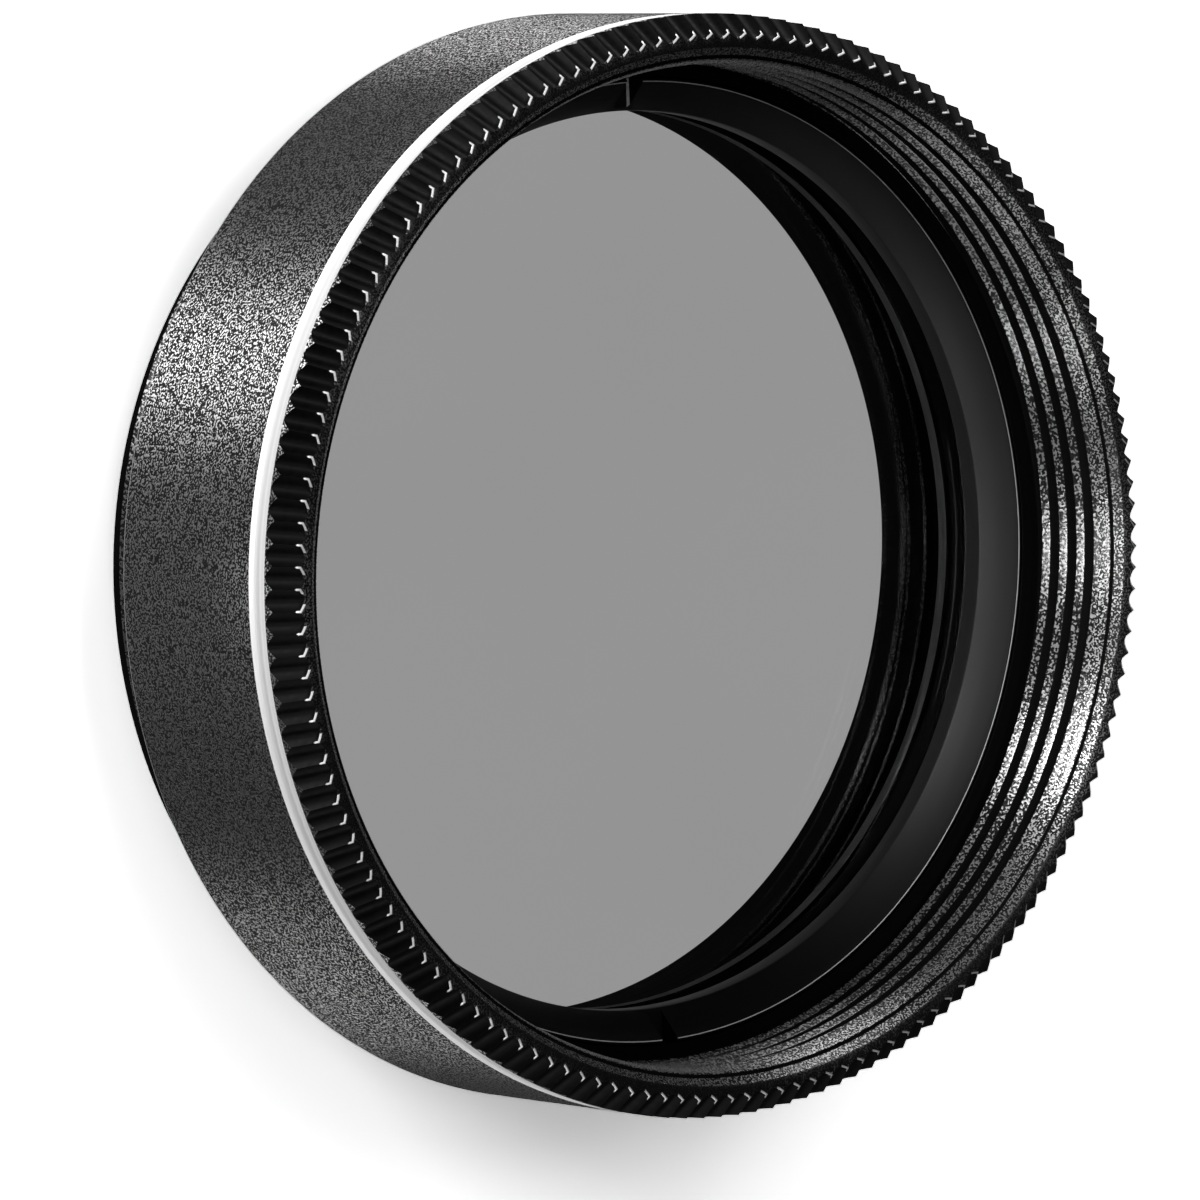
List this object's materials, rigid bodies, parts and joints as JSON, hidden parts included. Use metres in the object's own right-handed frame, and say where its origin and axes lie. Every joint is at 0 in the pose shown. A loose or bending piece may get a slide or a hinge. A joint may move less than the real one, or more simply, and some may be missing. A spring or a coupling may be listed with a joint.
{
  "type": "telescope moon filter",
  "caption": "Round screw-in neutral density filter for a telescope eyepiece: a knurled black metal cell holds a grey glass disc under a slotted retaining ring.",
  "frame": {"origin": "on the optical axis, at the end face of the male thread, on which the filter stands", "axes": "+Z along the optical axis, from the male thread towards the knurled female mouth; the ring's two spanner slots lie along X"},
  "size_m": [0.0306, 0.0306, 0.0099],
  "materials": {
    "black_anodised_cell": "black anodised over a fine blasted surface, with one bright turned band",
    "grey_glass": "polished neutral grey glass",
    "black_anodised_ring": "black anodised, finely turned"
  },
  "bodies": {
    "root": {"filter_cell": "black_anodised_cell", "filter_glass": "grey_glass", "retaining_ring": "black_anodised_ring"}
  },
  "joints": []
}
